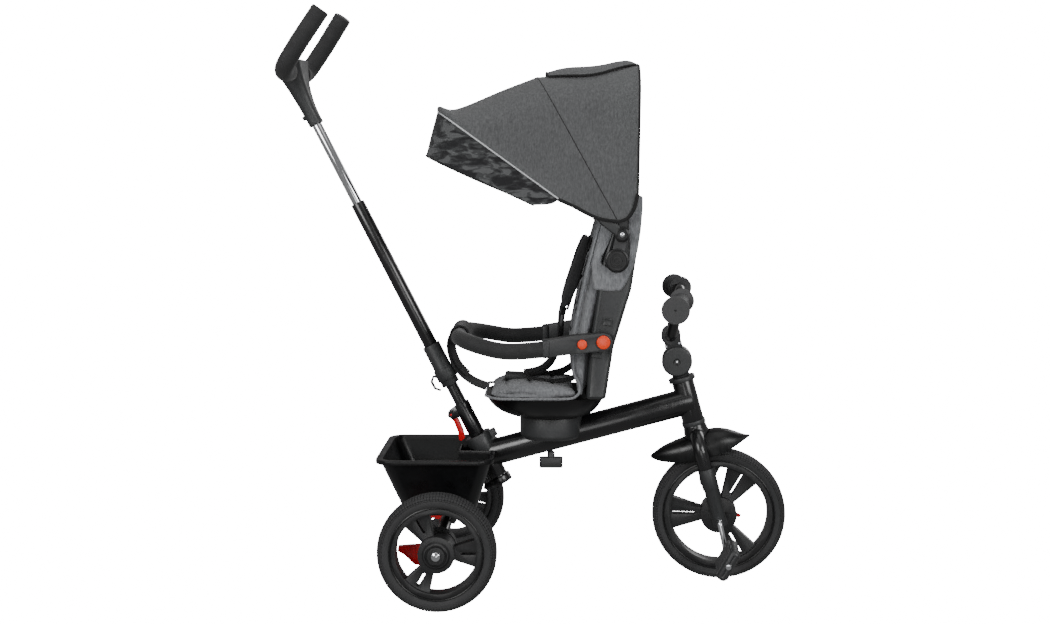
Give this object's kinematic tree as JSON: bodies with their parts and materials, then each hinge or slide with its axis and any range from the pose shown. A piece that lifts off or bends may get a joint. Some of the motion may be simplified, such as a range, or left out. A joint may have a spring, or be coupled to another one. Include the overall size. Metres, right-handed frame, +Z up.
{
  "type": "children's tricycle",
  "caption": "Push-along child's tricycle with rear-facing swivel seat, hooped bumper bar, folding canopy, telescopic steering push bar, pedals and a rear tub.",
  "frame": {"origin": "on the floor, midway along and across the tricycle", "axes": "+X is ahead, the way it rolls, +Y is the left side, +Z is up"},
  "size_m": [0.9466, 0.492, 1.0697],
  "materials": {
    "painted_steel": "satin black powder coat",
    "black_plastic": "fine moulded texture",
    "gloss_black": "glossy",
    "rim_plastic": "moulded",
    "tyre_foam": "matt foamed rubber",
    "chrome": "polished",
    "zinc": "bright plated",
    "red_plastic": "glossy",
    "orange_plastic": "glossy",
    "foam_grip": "matt foam",
    "seat_fabric": "light grey melange weave",
    "canopy_fabric": "dark grey heather weave",
    "print_fabric": "printed weave",
    "webbing": "woven tape"
  },
  "bodies": {
    "frame": {"main_frame": "painted_steel", "rear_axle": "zinc", "axle_nuts": "chrome", "brake_housings": "black_plastic", "basket": "gloss_black", "post_housing": "black_plastic", "headset_cups": "black_plastic", "seat_mount": "black_plastic"},
    "seat_clamp": {"clamp_knob": "black_plastic"},
    "steering": {"fork": "painted_steel", "fork_sleeves": "black_plastic", "front_fender": "gloss_black", "stem_knuckle": "black_plastic", "bar_clamp": "black_plastic", "handlebar": "painted_steel", "grip_left": "foam_grip", "grip_right": "foam_grip"},
    "front_wheel": {"front_rim": "rim_plastic", "front_tyre": "tyre_foam"},
    "clutch_lever": {"clutch_lever": "red_plastic"},
    "crank_set": {"pedal_crank": "chrome"},
    "pedal_left": {"pedal_left": "black_plastic"},
    "pedal_right": {"pedal_right": "black_plastic"},
    "rear_wheel_left": {"rear_rim_left": "rim_plastic", "rear_tyre_left": "tyre_foam"},
    "rear_wheel_right": {"rear_rim_right": "rim_plastic", "rear_tyre_right": "tyre_foam"},
    "brake_left": {"brake_lever_left": "red_plastic"},
    "brake_right": {"brake_lever_right": "red_plastic"},
    "push_post": {"push_post": "painted_steel", "push_tube": "painted_steel", "tube_collar": "black_plastic"},
    "release_lever": {"release_lever": "red_plastic"},
    "hook_lever": {"hook_lever": "black_plastic"},
    "push_handle": {"upper_tube": "chrome", "handle_neck": "black_plastic", "handle_tube": "painted_steel", "handle_foam": "foam_grip"},
    "height_button": {"height_button": "black_plastic"},
    "seat": {"seat_shell": "gloss_black", "backrest_shell": "black_plastic", "seat_pad": "seat_fabric", "backrest_pad": "seat_fabric", "harness_pads": "webbing", "harness": "webbing"},
    "bumper_bar": {"bumper_foam": "foam_grip", "bumper_arms": "black_plastic"},
    "crotch_strap": {"crotch_strap": "webbing"},
    "lift_button_left": {"lift_button_left": "orange_plastic"},
    "lift_button_right": {"lift_button_right": "orange_plastic"},
    "split_button_left": {"split_button_left": "orange_plastic"},
    "split_button_right": {"split_button_right": "orange_plastic"},
    "canopy_base": {"canopy_arms": "black_plastic", "hood_rear": "canopy_fabric"},
    "canopy_mid": {"mid_bow_rod": "zinc", "hood_front": "canopy_fabric"},
    "canopy_front": {"front_bow_rod": "zinc", "visor": "print_fabric"}
  },
  "joints": [
    {"name": "steering_turn", "type": "hinge", "parent": "frame", "child": "steering", "pos_m": [0.3484, 0, 0.125], "axis": [-0.2689, 0, 0.9632], "range_deg": [-29.5, 40.5]},
    {"name": "front_wheel_spin", "type": "hinge", "parent": "steering", "child": "front_wheel", "pos_m": [0.3484, 0, 0.125], "axis": [0.0923, 0.9954, 0.0258], "continuous": true},
    {"name": "clutch_slide", "type": "slide", "parent": "front_wheel", "child": "clutch_lever", "axis": [-0.0923, -0.9954, -0.0258], "range_m": [0, 0.004]},
    {"name": "crank_spin", "type": "hinge", "parent": "steering", "child": "crank_set", "pos_m": [0.3484, 0, 0.125], "axis": [0.0923, 0.9954, 0.0258], "continuous": true},
    {"name": "pedal_left_spin", "type": "hinge", "parent": "crank_set", "child": "pedal_left", "pos_m": [0.34705, 0.12119, 0.18271], "axis": [0.0923, 0.9954, 0.0258], "continuous": true},
    {"name": "pedal_right_spin", "type": "hinge", "parent": "crank_set", "child": "pedal_right", "pos_m": [0.34975, -0.12119, 0.06729], "axis": [0.0923, 0.9954, 0.0258], "continuous": true},
    {"name": "rear_wheel_left_spin", "type": "hinge", "parent": "frame", "child": "rear_wheel_left", "pos_m": [-0.1686, 0.21, 0.105], "axis": [0, 1, 0], "continuous": true},
    {"name": "rear_wheel_right_spin", "type": "hinge", "parent": "frame", "child": "rear_wheel_right", "pos_m": [-0.1686, -0.21, 0.105], "axis": [0, 1, 0], "continuous": true},
    {"name": "brake_left_press", "type": "hinge", "parent": "frame", "child": "brake_left", "pos_m": [-0.1686, 0.166, 0.105], "axis": [0, 1, 0], "range_deg": [-18, 0]},
    {"name": "brake_right_press", "type": "hinge", "parent": "frame", "child": "brake_right", "pos_m": [-0.1686, -0.166, 0.105], "axis": [0, 1, 0], "range_deg": [-18, 0]},
    {"name": "seat_clamp_turn", "type": "hinge", "parent": "frame", "child": "seat_clamp", "pos_m": [0.0314, 0, 0.221], "axis": [0, 0, 1], "continuous": true},
    {"name": "push_bar_turn", "type": "hinge", "parent": "frame", "child": "push_post", "pos_m": [-0.1086, 0, 0.275], "axis": [-0.454, 0, 0.891], "range_deg": [-29.5, 40.5]},
    {"name": "release_lever_pull", "type": "hinge", "parent": "push_post", "child": "release_lever", "pos_m": [-0.15663, 0.00249, 0.31226], "axis": [0.0854, 0.9954, 0.0435], "range_deg": [0, 14], "stiffness_Nm_per_rad": 0.05},
    {"name": "hook_release", "type": "hinge", "parent": "push_post", "child": "hook_lever", "pos_m": [-0.18225, 0.00158, 0.38337], "axis": [0.0854, 0.9954, 0.0435], "range_deg": [0, 8], "stiffness_Nm_per_rad": 0.05},
    {"name": "push_bar_height", "type": "slide", "parent": "push_post", "child": "push_handle", "axis": [-0.454, 0, 0.891], "range_m": [-0.15, 0.06]},
    {"name": "height_button_press", "type": "slide", "parent": "push_handle", "child": "height_button", "axis": [0.8869, -0.0958, 0.4519], "range_m": [0, 0.003], "stiffness_N_per_m": 300},
    {"name": "seat_swivel", "type": "hinge", "parent": "frame", "child": "seat", "pos_m": [0.0314, 0, 0.312], "axis": [0, 0, 1], "continuous": true},
    {"name": "bumper_lift", "type": "hinge", "parent": "seat", "child": "bumper_bar", "pos_m": [0.1224, 0, 0.466], "axis": [0, 1, 0], "range_deg": [0, 42]},
    {"name": "crotch_strap_swing", "type": "hinge", "parent": "bumper_bar", "child": "crotch_strap", "pos_m": [-0.1376, 0, 0.468], "axis": [0, 1, 0], "range_deg": [-42, 0]},
    {"name": "lift_button_left_press", "type": "slide", "parent": "bumper_bar", "child": "lift_button_left", "axis": [0, -1, 0], "range_m": [0, 0.003], "stiffness_N_per_m": 300},
    {"name": "lift_button_right_press", "type": "slide", "parent": "bumper_bar", "child": "lift_button_right", "axis": [0, 1, 0], "range_m": [0, 0.003], "stiffness_N_per_m": 300},
    {"name": "split_button_left_press", "type": "slide", "parent": "bumper_bar", "child": "split_button_left", "axis": [0, -1, 0], "range_m": [0, 0.003], "stiffness_N_per_m": 300},
    {"name": "split_button_right_press", "type": "slide", "parent": "bumper_bar", "child": "split_button_right", "axis": [0, 1, 0], "range_m": [0, 0.003], "stiffness_N_per_m": 300},
    {"name": "canopy_tilt", "type": "hinge", "parent": "seat", "child": "canopy_base", "pos_m": [0.1464, 0, 0.609], "axis": [0, 1, 0], "range_deg": [0, 12]},
    {"name": "canopy_fold_mid", "type": "hinge", "parent": "canopy_base", "child": "canopy_mid", "pos_m": [0.1549, 0, 0.655], "axis": [0, 1, 0], "range_deg": [0, 26], "deforming": ["hood_rear"]},
    {"name": "canopy_fold_front", "type": "hinge", "parent": "canopy_mid", "child": "canopy_front", "pos_m": [0.1549, 0, 0.655], "axis": [0, 1, 0], "range_deg": [0, 17], "deforming": ["hood_front"]}
  ],
  "couplings": [
    {"joint": "crank_spin", "follows": "front_wheel_spin", "ratio": 1},
    {"joint": "push_bar_turn", "follows": "steering_turn", "ratio": 1},
    {"joint": "crotch_strap_swing", "follows": "bumper_lift", "ratio": -1}
  ]
}
